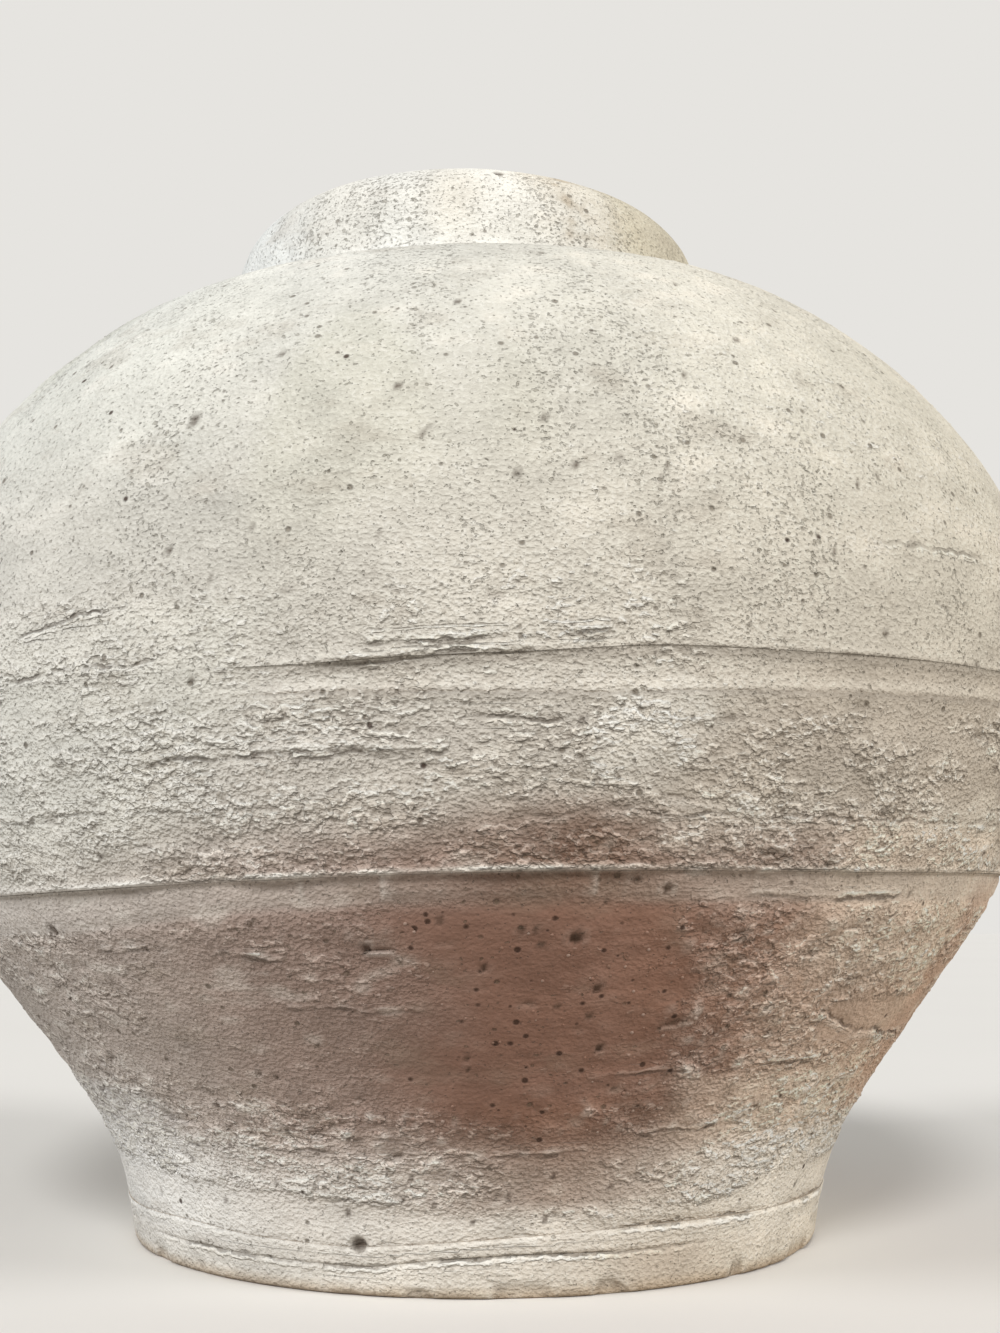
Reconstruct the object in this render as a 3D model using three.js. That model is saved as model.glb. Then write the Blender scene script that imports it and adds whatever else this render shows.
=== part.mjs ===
// A big-bellied stoneware jar with a short collar neck, in mm, +Z up, standing on the floor at z 0.
// It is built as it was made: a floor slab, a sealing coil, and wall sections thrown one by one and
// luted on top of each other, each with a ridge along its top that fills the groove of the next one.
import * as THREE from 'three';

// heights of the joints above the floor
const SLAB_TOP = 12;
const COIL_TOP = 18;
const BELLY_SEAM = 131.5;
const BAND_LOW = 183;
const BAND_HIGH = 194.5;

// foot and belly, outside
const FOOT_RADIUS = 130;
const FOOT_BEVEL = 2.5;
const FOOT_LEAN = 0.19;
const FOOT_HEIGHT = 38;
const FOOT_EASE = 23;
const BELLY_RADIUS = 223.7;
const BELLY_HEIGHT = 209;
const BELLY_DROP = 189.5;

// shoulder, outside: from the widest ring up to the neck, part of an oval of this rise
const SHOULDER_HEIGHT = 142.5;
const SHOULDER_RISE = 173.6;
const SHOULDER_EASE = 16;
const NECK_SLOPE = 0.12;

// collar neck
const NECK_BASE = BELLY_HEIGHT + SHOULDER_HEIGHT;
const COLLAR_RADIUS = 115;
const COLLAR_HEIGHT = 45.8;
const COLLAR_FLARE = 0.25;
const WAIST_RADIUS = 96.8;
const WAIST_HEIGHT = 16.4;
const WAIST_LEAN = 0.126;
const LIP_RADIUS = 81.2;
const LIP_SLOPE = 0.64;
const LIP_DEPTH = 7;
const MOUTH_RADIUS = 67;
const NECK_HOLE = 86;

// wall and joints
const WALL = 11;
const SLIP = 0.3;
const KEY_WIDTH = 4;
const KEY_HEIGHT = 2.5;
const KEY_DRAFT = 0.5;
const SEAM_LIP = 1.2;
const SEAM_FADE = 14;
const BAND_DEPTH = 1.2;

// how far the soft clay settled to one side while it dried
const SEAM_TIP = 0.022;
const NECK_TIP = 0.035;
const NECK_SHIFT = -5.4;

// how finely the round forms are drawn
const SIDES = 48;
const ARC_STEPS = 7;
const EASE_STEPS = 4;

const CREAM_CLAY = 0xd9d5c5;
const GREY_CLAY = 0xb7a999;
const BROWN_CLAY = 0x8a6f60;
const FOOT_CLAY = 0xc9bfae;

const at = (radius, height) => new THREE.Vector2(radius, height);

// the curve that leaves one point along one way and reaches another along its own way
function eased(from, fromWay, to, toWay, steps) {
  const reach = to.clone().sub(from).cross(toWay) / fromWay.cross(toWay);
  const corner = from.clone().addScaledVector(fromWay, reach);
  return new THREE.QuadraticBezierCurve(from, corner, to).getPoints(steps);
}

// points along a rule from one value to another, both ends included
function along(first, last, steps, rule) {
  return Array.from({ length: steps + 1 }, (_, step) => rule(first + ((last - first) * step) / steps));
}

// the outside of the body from the floor to the neck: a leaning foot, a straight flare that runs
// into the lower half of the belly, and a shoulder that flattens towards the neck
function outerWall() {
  const footWay = at(FOOT_LEAN, 1).normalize();
  const foot = at(FOOT_RADIUS + FOOT_LEAN * FOOT_HEIGHT, FOOT_HEIGHT);
  const lower = (angle) =>
    at(BELLY_RADIUS * Math.sin(angle), BELLY_HEIGHT + BELLY_DROP * Math.cos(angle));
  const upper = (angle) =>
    at(BELLY_RADIUS * Math.cos(angle), BELLY_HEIGHT + SHOULDER_RISE * Math.sin(angle));
  const across = foot.x / BELLY_RADIUS;
  const down = (foot.y - BELLY_HEIGHT) / BELLY_DROP;
  const touch = Math.atan2(across, down) - Math.acos(1 / Math.hypot(across, down));
  const flareWay = lower(touch).sub(foot).normalize();
  const easeStart = foot.clone().addScaledVector(footWay, -FOOT_EASE);
  const easeEnd = foot.clone().addScaledVector(flareWay, FOOT_EASE);
  const turn = Math.asin((NECK_BASE - SHOULDER_EASE - BELLY_HEIGHT) / SHOULDER_RISE);
  const shoulder = upper(turn);
  const shoulderWay = at(-BELLY_RADIUS * Math.sin(turn), SHOULDER_RISE * Math.cos(turn));
  return [
    at(FOOT_RADIUS, 0),
    ...eased(easeStart, footWay, easeEnd, flareWay, EASE_STEPS),
    ...along(touch, Math.PI / 2, ARC_STEPS, lower),
    ...along(0, turn, ARC_STEPS, upper).slice(1),
    ...eased(shoulder, shoulderWay, at(COLLAR_RADIUS, NECK_BASE), at(-1, NECK_SLOPE), EASE_STEPS).slice(1),
  ];
}

// the inside of the body, one wall thickness in from each point of the outside
function innerWall(outside) {
  return outside.map((point, index) => {
    const before = outside[Math.max(index - 1, 0)];
    const after = outside[Math.min(index + 1, outside.length - 1)];
    const way = after.clone().sub(before).normalize();
    return at(point.x - WALL * way.y, point.y + WALL * way.x);
  });
}

const OUTSIDE = outerWall();
const INSIDE = innerWall(OUTSIDE);

// the radius of a wall line at a height, read between its points
function radiusAt(wall, height) {
  const next = Math.max(1, wall.findIndex((point) => point.y >= height));
  const [low, high] = [wall[next - 1], wall[next]];
  const share = (height - low.y) / (high.y - low.y);
  return low.x + (high.x - low.x) * share;
}

// how far the outside is drawn in: under the overhanging main seam, and along the coved band
function inset(height, low) {
  const belowSeam = BELLY_SEAM - height;
  const underLip = low < BELLY_SEAM && belowSeam >= 0 && belowSeam < SEAM_FADE;
  const lip = underLip ? SEAM_LIP * (1 - belowSeam / SEAM_FADE) : 0;
  const bandShare = THREE.MathUtils.clamp((height - BAND_LOW) / (BAND_HIGH - BAND_LOW), 0, 1);
  return lip + BAND_DEPTH * Math.sin(Math.PI * bandShare);
}

// the points of a wall line between two heights, its ends and any extra heights included
function stretch(wall, low, high, extra = []) {
  const own = wall.map((point) => point.y);
  const heights = [...own, ...extra].filter((height) => height > low && height < high);
  return [low, ...heights.sort((a, b) => a - b), high].map((height) => at(radiusAt(wall, height), height));
}

// the ridge across the middle of a joint, from its outer foot to its inner foot, grown by a clearance
function ridge(middle, height, clearance) {
  const half = KEY_WIDTH / 2 + clearance;
  const top = height + KEY_HEIGHT + clearance;
  return [
    at(middle + half, height),
    at(middle + half - KEY_DRAFT, top),
    at(middle - half + KEY_DRAFT, top),
    at(middle - half, height),
  ];
}

// the middle of the wall at a joint height
function middleAt(height) {
  return (radiusAt(OUTSIDE, height) + radiusAt(INSIDE, height)) / 2;
}

// one ring of the body wall between two joints, without the groove in its underside
function wallRing(low, high, extra = []) {
  const outer = stretch(OUTSIDE, low + SLIP, high, extra).map((p) => at(p.x - inset(p.y, low), p.y));
  const inner = stretch(INSIDE, low + SLIP, high).reverse();
  return [...outer, ...ridge(middleAt(high), high, 0), ...inner];
}

// a ring of the wall with the groove that takes the ridge below it
function wallSection(low, high, extra = []) {
  return [...wallRing(low, high, extra), ...ridge(middleAt(low), low + SLIP, SLIP).reverse()];
}

// a plain disc with a small bevel round its underside
function baseSlab() {
  return [
    at(0, 0),
    at(FOOT_RADIUS - FOOT_BEVEL, 0),
    at(radiusAt(OUTSIDE, FOOT_BEVEL), FOOT_BEVEL),
    at(radiusAt(OUTSIDE, SLAB_TOP), SLAB_TOP),
    at(0, SLAB_TOP),
  ];
}

// the last body section, closed by the flat seat round the neck hole
function shoulderDome() {
  const floor = BAND_HIGH + SLIP;
  const inner = INSIDE.filter((point) => point.y > floor && point.x > NECK_HOLE);
  const seatMiddle = (COLLAR_RADIUS + NECK_HOLE) / 2;
  return [
    ...stretch(OUTSIDE, floor, NECK_BASE),
    ...ridge(seatMiddle, NECK_BASE, 0),
    at(NECK_HOLE, NECK_BASE),
    at(NECK_HOLE, NECK_BASE - WALL),
    ...inner.reverse(),
    at(radiusAt(INSIDE, floor), floor),
    ...ridge(middleAt(BAND_HIGH), floor, SLIP).reverse(),
  ];
}

function neckCollar() {
  const floor = NECK_BASE + SLIP;
  const waist = at(WAIST_RADIUS, NECK_BASE + WAIST_HEIGHT);
  const waistWay = at(-WAIST_LEAN, 1);
  const lip = at(LIP_RADIUS, NECK_BASE + COLLAR_HEIGHT);
  const lipWay = at(-1, LIP_SLOPE);
  const throat = at(MOUTH_RADIUS, NECK_BASE + COLLAR_HEIGHT - LIP_DEPTH);
  const seatMiddle = (COLLAR_RADIUS + NECK_HOLE) / 2;
  return [
    ...eased(at(COLLAR_RADIUS, floor), at(-1, COLLAR_FLARE), waist, waistWay, EASE_STEPS),
    ...eased(waist, waistWay, lip, lipWay, EASE_STEPS).slice(1),
    ...eased(lip, lipWay, throat, at(0, -1), EASE_STEPS).slice(1),
    at(NECK_HOLE, floor),
    ...ridge(seatMiddle, floor, SLIP).reverse(),
  ];
}

// the settled shape: each level is tipped a little and shifted to one side, and the foot stays flat
function settle(geometry) {
  const { smoothstep } = THREE.MathUtils;
  const places = geometry.getAttribute('position');
  for (let index = 0; index < places.count; index += 1) {
    const x = places.getX(index);
    const z = places.getZ(index);
    const tip =
      SEAM_TIP * smoothstep(z, COIL_TOP, BELLY_SEAM) +
      (NECK_TIP - SEAM_TIP) * smoothstep(z, BELLY_HEIGHT, NECK_BASE) -
      NECK_TIP * smoothstep(z, NECK_BASE, NECK_BASE + COLLAR_HEIGHT);
    places.setX(index, x + NECK_SHIFT * smoothstep(z, BELLY_HEIGHT, NECK_BASE));
    places.setZ(index, z + x * tip);
  }
  geometry.computeVertexNormals();
  return geometry;
}

function piece(name, profile, colour) {
  const first = profile[0];
  const closed = first.x === 0 ? profile : [...profile, first.clone()];
  const geometry = new THREE.LatheGeometry(closed, SIDES);
  geometry.rotateX(Math.PI / 2);
  const material = new THREE.MeshStandardMaterial({ color: colour, roughness: 0.92, metalness: 0 });
  const mesh = new THREE.Mesh(settle(geometry), material);
  mesh.name = name;
  return mesh;
}

const jar = new THREE.Group();
jar.name = 'stoneware_jar';
const bandSteps = along(BAND_LOW, BAND_HIGH, EASE_STEPS, (height) => height);
jar.add(
  piece('base_slab', baseSlab(), FOOT_CLAY),
  piece('foot_coil', wallRing(SLAB_TOP, COIL_TOP), FOOT_CLAY),
  piece('lower_wall', wallSection(COIL_TOP, BELLY_SEAM, [BELLY_SEAM - SEAM_FADE]), BROWN_CLAY),
  piece('belly_wall', wallSection(BELLY_SEAM, BAND_LOW), GREY_CLAY),
  piece('luting_band', wallSection(BAND_LOW, BAND_HIGH, bandSteps), GREY_CLAY),
  piece('shoulder_dome', shoulderDome(), CREAM_CLAY),
  piece('neck_collar', neckCollar(), CREAM_CLAY),
);

export default jar;
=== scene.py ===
"""A big-bellied jar of dry, gritty stoneware with a short collar neck, standing on a pale floor.

Each thrown section of the jar is modelled as its own finely worked shell. Sizes are in millimetres,
angles in degrees round the jar from its front (-Y) towards its right (+X), and meshes in metres.
"""
import math

import bpy
import numpy as np
from mathutils import Matrix


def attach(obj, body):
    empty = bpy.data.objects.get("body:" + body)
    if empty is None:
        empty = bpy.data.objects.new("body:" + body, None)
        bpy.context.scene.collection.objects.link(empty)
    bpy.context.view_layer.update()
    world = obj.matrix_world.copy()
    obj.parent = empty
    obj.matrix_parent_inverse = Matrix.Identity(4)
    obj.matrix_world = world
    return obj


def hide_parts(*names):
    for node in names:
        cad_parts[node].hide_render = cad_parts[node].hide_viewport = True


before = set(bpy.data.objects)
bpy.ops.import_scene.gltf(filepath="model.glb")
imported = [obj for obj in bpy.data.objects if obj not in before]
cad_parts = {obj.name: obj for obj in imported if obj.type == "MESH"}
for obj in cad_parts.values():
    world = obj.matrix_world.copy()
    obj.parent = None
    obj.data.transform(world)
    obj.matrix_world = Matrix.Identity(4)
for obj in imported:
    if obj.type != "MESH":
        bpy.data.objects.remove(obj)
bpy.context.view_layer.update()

# the jar's outline, joints and settled lean, the same as its construction
SLAB_TOP, COIL_TOP, BELLY_SEAM = 12.0, 18.0, 131.5
BAND_LOW, BAND_HIGH = 183.0, 194.5
FOOT_RADIUS, FOOT_BEVEL, FOOT_LEAN, FOOT_HEIGHT, FOOT_EASE = 130.0, 2.5, 0.19, 38.0, 23.0
BELLY_RADIUS, BELLY_HEIGHT, BELLY_DROP = 223.7, 209.0, 189.5
SHOULDER_HEIGHT, SHOULDER_RISE, SHOULDER_EASE, NECK_SLOPE = 142.5, 173.6, 16.0, 0.12
NECK_BASE = BELLY_HEIGHT + SHOULDER_HEIGHT
COLLAR_RADIUS, COLLAR_HEIGHT, COLLAR_FLARE = 115.0, 45.8, 0.25
WAIST_RADIUS, WAIST_HEIGHT, WAIST_LEAN = 96.8, 16.4, 0.126
LIP_RADIUS, LIP_SLOPE, LIP_DEPTH = 81.2, 0.64, 7.0
MOUTH_RADIUS, NECK_HOLE = 67.0, 86.0
WALL, SLIP, SKIN_GAP = 11.0, 0.3, 0.03
RIDGE_WIDTH, RIDGE_HEIGHT, RIDGE_DRAFT = 4.0, 2.5, 0.5
SEAM_LIP, SEAM_FADE, BAND_DEPTH = 1.2, 14.0, 1.2
SEAM_TIP, NECK_TIP, NECK_SHIFT = 0.022, 0.035, -5.4
LIP_SUNK = 0.75

# how finely the shells and the sheet of relief are drawn
COLUMNS = 700
FRONT_CLOSENESS = 2.4
SHEET_COLUMNS = 2048
SHEET_STEP = 0.8
FINE_STEP = 0.45
FINE_REACH = 8.0
SLAB_STEP, COIL_STEP, LOWER_STEP, BELLY_STEP = 0.9, 0.6, 1.45, 1.1
BAND_STEP, SHOULDER_STEP, COLLAR_STEP = 0.6, 2.35, 1.1
INSIDE_STEP = 8.0
MARK_REACH = 4.0
MM = 0.001

# the photographed view, in the photo's own 1000 x 1333 pixels
PHOTO_HEIGHT = 1333
FOCAL_PIXELS = 1700
SENSOR = 36.0
CAMERA_BACK, CAMERA_UP = 0.6879, 0.1261
CAMERA_PITCH, CAMERA_YAW, CAMERA_ROLL = 0.1348, 0.0131, 0.0051


def smooth(value, low, high):
    """0 below low, 1 above high, and a soft step between them."""
    share = np.clip((value - low) / (high - low), 0.0, 1.0)
    return share * share * (3.0 - 2.0 * share)


def between(value, low, high, edge):
    """1 between low and high, falling softly to 0 over the edge outside them."""
    return smooth(value, low - edge, low) * (1.0 - smooth(value, high, high + edge))


def bell(value, middle, width):
    """1 at the middle, falling away on both sides over about the width."""
    return np.exp(-(((value - middle) / width) ** 2))


def turn_apart(angle, middle):
    """How far an angle is from a middle one round the jar, from -180 to 180."""
    return (angle - middle + 180.0) % 360.0 - 180.0


# The outline

def eased(start, start_way, end, end_way, steps):
    """The curve that leaves one point along one way and reaches another along its own way."""
    gap = end - start
    turn = start_way[0] * end_way[1] - start_way[1] * end_way[0]
    corner = start + start_way * (gap[0] * end_way[1] - gap[1] * end_way[0]) / turn
    share = np.linspace(0.0, 1.0, steps + 1)[:, None]
    return (1 - share) ** 2 * start + 2 * share * (1 - share) * corner + share ** 2 * end


def unit(*way):
    return np.array(way) / math.hypot(*way)


def body_outline():
    """The outside from the floor to the neck, as (radius, height) points."""
    foot_way = unit(FOOT_LEAN, 1.0)
    foot = np.array([FOOT_RADIUS + FOOT_LEAN * FOOT_HEIGHT, FOOT_HEIGHT])

    def lower(angle):
        return np.stack([BELLY_RADIUS * np.sin(angle), BELLY_HEIGHT + BELLY_DROP * np.cos(angle)], -1)

    def upper(angle):
        return np.stack([BELLY_RADIUS * np.cos(angle), BELLY_HEIGHT + SHOULDER_RISE * np.sin(angle)], -1)

    across, down = foot[0] / BELLY_RADIUS, (foot[1] - BELLY_HEIGHT) / BELLY_DROP
    touch = math.atan2(across, down) - math.acos(1.0 / math.hypot(across, down))
    flare_way = unit(*(lower(touch) - foot))
    turn = math.asin((NECK_BASE - SHOULDER_EASE - BELLY_HEIGHT) / SHOULDER_RISE)
    turn_way = np.array([-BELLY_RADIUS * math.sin(turn), SHOULDER_RISE * math.cos(turn)])
    neck = np.array([COLLAR_RADIUS, NECK_BASE])
    return np.concatenate([
        [[FOOT_RADIUS, 0.0]],
        eased(foot - foot_way * FOOT_EASE, foot_way, foot + flare_way * FOOT_EASE, flare_way, 16),
        lower(np.linspace(touch, math.pi / 2, 60)),
        upper(np.linspace(0.0, turn, 80))[1:],
        eased(upper(turn), turn_way, neck, np.array([-1.0, NECK_SLOPE]), 16)[1:],
    ])


def collar_outline():
    """The outside of the collar, over its lip and down into the mouth."""
    base = np.array([COLLAR_RADIUS, NECK_BASE + SLIP])
    waist = np.array([WAIST_RADIUS, NECK_BASE + WAIST_HEIGHT])
    lip = np.array([LIP_RADIUS, NECK_BASE + COLLAR_HEIGHT])
    throat = np.array([MOUTH_RADIUS, NECK_BASE + COLLAR_HEIGHT - LIP_DEPTH])
    waist_way, lip_way = np.array([-WAIST_LEAN, 1.0]), np.array([-1.0, LIP_SLOPE])
    return np.concatenate([
        eased(base, np.array([-1.0, COLLAR_FLARE]), waist, waist_way, 24),
        eased(waist, waist_way, lip, lip_way, 24)[1:],
        eased(lip, lip_way, throat, np.array([0.0, -1.0]), 24)[1:],
    ])


class Line:
    """An outline read by the distance along it, with the way that it faces."""

    def __init__(self, points):
        steps = np.hypot(*np.diff(points, axis=0).T)
        points = points[np.concatenate([[True], steps > 1e-6])]
        self.points = points
        self.length = np.concatenate([[0.0], np.cumsum(np.hypot(*np.diff(points, axis=0).T))])
        way = np.gradient(points, self.length, axis=0)
        self.facing = np.stack([way[:, 1], -way[:, 0]], -1) / np.hypot(*way.T)[:, None]

    def at(self, along):
        """Radius, height and the two parts of the facing at each distance along."""
        columns = [*self.points.T, *self.facing.T]
        return [np.interp(along, self.length, column) for column in columns]

    def reach(self, height):
        """The distance along at which the line first comes to a height."""
        top = int(np.argmax(self.points[:, 1]))
        return np.interp(height, self.points[:top + 1, 1], self.length[:top + 1])


BODY = Line(body_outline())
COLLAR = Line(collar_outline())
NECK_REACH = float(BODY.length[-1])
FULL_REACH = NECK_REACH + float(COLLAR.length[-1])
INSIDE_RADII = BODY.points[:, 0] - WALL * BODY.facing[:, 0]
INSIDE_HEIGHTS = BODY.points[:, 1] - WALL * BODY.facing[:, 1]


def inside_radius(height):
    return np.interp(height, INSIDE_HEIGHTS, INSIDE_RADII)


def middle_at(height):
    """The middle of the wall at a joint's height."""
    return (float(BODY.at(BODY.reach(height))[0]) + float(inside_radius(height))) / 2


def settle(radius, angle, height):
    """The place of a point of the round form after the soft clay settled to one side, in metres."""
    turn = np.radians(angle)
    across, deep = radius * np.sin(turn), -radius * np.cos(turn)
    tip = SEAM_TIP * smooth(height, COIL_TOP, BELLY_SEAM)
    tip = tip + (NECK_TIP - SEAM_TIP) * smooth(height, BELLY_HEIGHT, NECK_BASE)
    tip = tip - NECK_TIP * smooth(height, NECK_BASE, NECK_BASE + COLLAR_HEIGHT)
    shift = NECK_SHIFT * smooth(height, BELLY_HEIGHT, NECK_BASE)
    return np.stack([across + shift, deep, height + across * tip], -1) * MM


# The sheet that wraps the jar: angle across, distance up the outline down

SHEET_ROWS = int(FULL_REACH / SHEET_STEP) + 2
SHEET_ANGLES = np.arange(SHEET_COLUMNS) * 360.0 / SHEET_COLUMNS - 180.0
SHEET_REACH = np.arange(SHEET_ROWS) * SHEET_STEP
ANGLE, REACH = np.meshgrid(SHEET_ANGLES, SHEET_REACH)
HEIGHT = np.where(REACH < NECK_REACH, BODY.at(REACH)[1], COLLAR.at(REACH - NECK_REACH)[1])
ON_COLLAR = REACH >= NECK_REACH
AROUND_STEP = 2.0 * math.pi * BELLY_RADIUS / SHEET_COLUMNS


def soften(sheet, around, up):
    """The sheet blurred over about these sizes round and up the wall."""
    mirrored = np.concatenate([sheet, sheet[::-1]])
    wave_around = np.fft.rfftfreq(SHEET_COLUMNS, AROUND_STEP)[None, :]
    wave_up = np.fft.fftfreq(SHEET_ROWS * 2, SHEET_STEP)[:, None]
    keep = np.exp(-0.5 * ((wave_around * around * math.pi) ** 2 + (wave_up * up * math.pi) ** 2))
    return np.fft.irfft2(np.fft.rfft2(mirrored) * keep, s=mirrored.shape)[:SHEET_ROWS]


def grain(seed, around, up):
    """Soft random relief of unit strength, with lumps of about these sizes round and up the wall."""
    soft = soften(np.random.default_rng(seed).standard_normal(ANGLE.shape), around, up)
    return (soft - soft.mean()) / soft.std()


def ragged(seed, size):
    """Unit random strays round the jar, of about this size along it."""
    wave = np.fft.rfft(np.random.default_rng(seed).standard_normal(SHEET_COLUMNS))
    wave *= np.exp(-0.5 * (np.fft.rfftfreq(SHEET_COLUMNS, AROUND_STEP) * size * math.pi) ** 2)
    soft = np.fft.irfft(wave, n=SHEET_COLUMNS)
    return (soft - soft.mean()) / soft.std()


# The joints, as uneven as the hand left them, as (angle, height) points

SLAB_LINE = [
    (-130, 11.0), (-44, 9.8), (-22, 9.6), (-14, 9.2), (-8, 12.0), (6, 14.2), (27, 13.8), (60, 14.6),
    (130, 12.6),
]
COIL_LINE = [
    (-130, 17.0), (-69, 16.1), (-46, 17.8), (-35, 16.4), (-17, 15.6), (4, 19.6), (23, 21.9), (45, 21.4),
    (72, 21.2), (130, 18.0),
]
SEAM_LINE = [
    (-150, 130.6), (-90, 128.6), (-49, 128.8), (-21, 131.6), (2, 133.2), (18, 132.6), (36, 131.5),
    (90, 130.6), (140, 131.6),
]
BAND_LOW_LINE = [
    (-120, 182.0), (-9, 183.6), (-2, 182.6), (9, 182.0), (16, 183.2), (25, 183.6), (49, 185.8), (120, 184.0),
]
BAND_HIGH_LINE = [
    (-120, 193.0), (-11, 191.4), (-5, 192.8), (6, 193.6), (12, 195.8), (25, 195.2), (47, 195.7), (120, 194.6),
]


def hand_line(points):
    """A height for each column of the sheet, eased through (angle, height) points and closed behind."""
    angles = np.array([points[-1][0] - 360.0, *[angle for angle, _ in points], points[0][0] + 360.0])
    heights = np.array([points[-1][1], *[height for _, height in points], points[0][1]])
    wave = np.fft.rfft(np.interp(SHEET_ANGLES, angles, heights))
    wave *= np.exp(-((np.arange(len(wave)) / 30.0) ** 2))
    return np.fft.irfft(wave, n=SHEET_COLUMNS)


def column_angles():
    """The shells' columns, closer together on the front half of the jar."""
    fine = np.linspace(-180.0, 180.0, 3601)
    closeness = 1.0 + (FRONT_CLOSENESS - 1.0) * (1.0 - smooth(np.abs(fine), 70.0, 105.0))
    share = np.concatenate([[0.0], np.cumsum((closeness[1:] + closeness[:-1]) / 2)])
    return np.interp(np.arange(COLUMNS) / COLUMNS, share / share[-1], fine)


TURNS = column_angles()
KNOTS = np.array([0.0, SLAB_TOP, COIL_TOP, BELLY_SEAM, BAND_LOW, BAND_HIGH, NECK_BASE])
JOINT_LINES = [SLAB_LINE, COIL_LINE, SEAM_LINE, BAND_LOW_LINE, BAND_HIGH_LINE]
LEVEL = np.zeros(SHEET_COLUMNS)
UNEVEN = [hand_line(line) - knot for line, knot in zip(JOINT_LINES, KNOTS[1:])]
SHEET_STRAYS = np.stack([LEVEL, *UNEVEN, LEVEL])
STRAYS = np.stack([np.interp(TURNS, SHEET_ANGLES, stray, period=360.0) for stray in SHEET_STRAYS])


def wander(base):
    """How far each column strays up or down from one level height, between the joints."""
    row = int(np.clip(np.searchsorted(KNOTS, base) - 1, 0, len(KNOTS) - 2))
    share = min(1.0, (base - KNOTS[row]) / (KNOTS[row + 1] - KNOTS[row]))
    return STRAYS[row] * (1.0 - share) + STRAYS[row + 1] * share


# The relief of the wall

# the lower edge of the finger-dabbed lip under the main joint, and of the torn belt over the foot
LIP_LINE = [
    (-150, 121.0), (-54, 116.6), (-39, 118.2), (-19, 124.9), (-6, 126.1), (10, 125.7), (19, 125.0),
    (37, 124.6), (90, 122.0), (150, 123.0),
]
TORN_LINE = [(-120, 40.0), (-50, 37.0), (-28, 36.0), (-10, 32.0), (12, 27.0), (30, 29.0), (48, 38.0)]
SEAM_HEIGHTS = BELLY_SEAM + SHEET_STRAYS[3][None, :]
LIP_HEIGHTS = hand_line(LIP_LINE)[None, :]
TORN_HEIGHTS = hand_line(TORN_LINE)[None, :]


def worn(strength, low, high, edge, loss):
    """The strength of a joint's line, less by a share between two angles."""
    return strength * (1.0 - loss * between(SHEET_ANGLES, low, high, edge))


# how clearly each joint shows round the jar
SEAM_STRENGTH = worn(np.clip(1.0 + 0.3 * ragged(94, 20.0), 0.3, 1.5), 16.0, 62.0, 8.0, 0.6)
BAND_STRENGTH = 1.0 - 0.85 * between(SHEET_ANGLES, -110.0, -22.0, 11.0)
BAND_STRENGTH -= 0.35 * between(SHEET_ANGLES, 8.0, 120.0, 12.0)
LEDGE_STRENGTH = worn(np.clip(1.1 + 0.4 * ragged(93, 26.0), 0.3, 1.7), -110.0, 12.0, 8.0, 0.65)
CRACK_STRENGTH = np.clip(0.35 + 0.3 * ragged(96, 34.0), 0.0, 0.8)
CRACK_STRENGTH += 0.7 * between(SHEET_ANGLES, -20.0, 16.0, 5.0)

# grooves scored or torn along the wall: their points, depth, width and raised lower lip
SCORES = [
    ([(-39.7, 206.3), (-30.7, 211.1), (-23.3, 213.5)], 0.9, 0.9, 0.8),
    ([(-48, 190.6), (-39.7, 193.4), (-29.6, 195.1), (-21.5, 197.1)], 0.8, 0.9, 0.8),
    ([(-1.3, 175.2), (6.4, 174.9)], 0.7, 0.8, 0.7),
    ([(3.2, 166.3), (5.8, 166.2)], 0.7, 0.8, 0.7),
    ([(-7.0, 149.5), (-3.7, 149.3)], 0.5, 0.8, 0.7),
    ([(3.6, 149.6), (12.5, 149.1), (21.7, 148.5), (55.9, 146.0)], 0.55, 0.9, 0.7),
    ([(38.8, 89.2), (49.3, 81.0), (65.6, 77.8)], 1.3, 1.3, 0.9),
    ([(32.0, 230.2), (41.0, 231.2), (50.9, 232.9)], 0.4, 0.8, 0.4),
    ([(33.9, 224.7), (37.4, 219.0), (41.5, 212.1)], 0.4, 1.0, 0.3),
    ([(98.0, 160.0), (120.0, 163.0), (146.0, 161.0)], 0.7, 1.1, 0.8),
    ([(-160.0, 205.0), (-138.0, 207.0), (-118.0, 206.0)], 0.7, 1.1, 0.8),
    ([(150.0, 96.0), (168.0, 92.0), (179.0, 93.0)], 1.0, 1.5, 0.9),
    ([(-120.0, 148.0), (-100.0, 150.0), (-82.0, 149.0)], 0.6, 1.2, 0.8),
]

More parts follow.
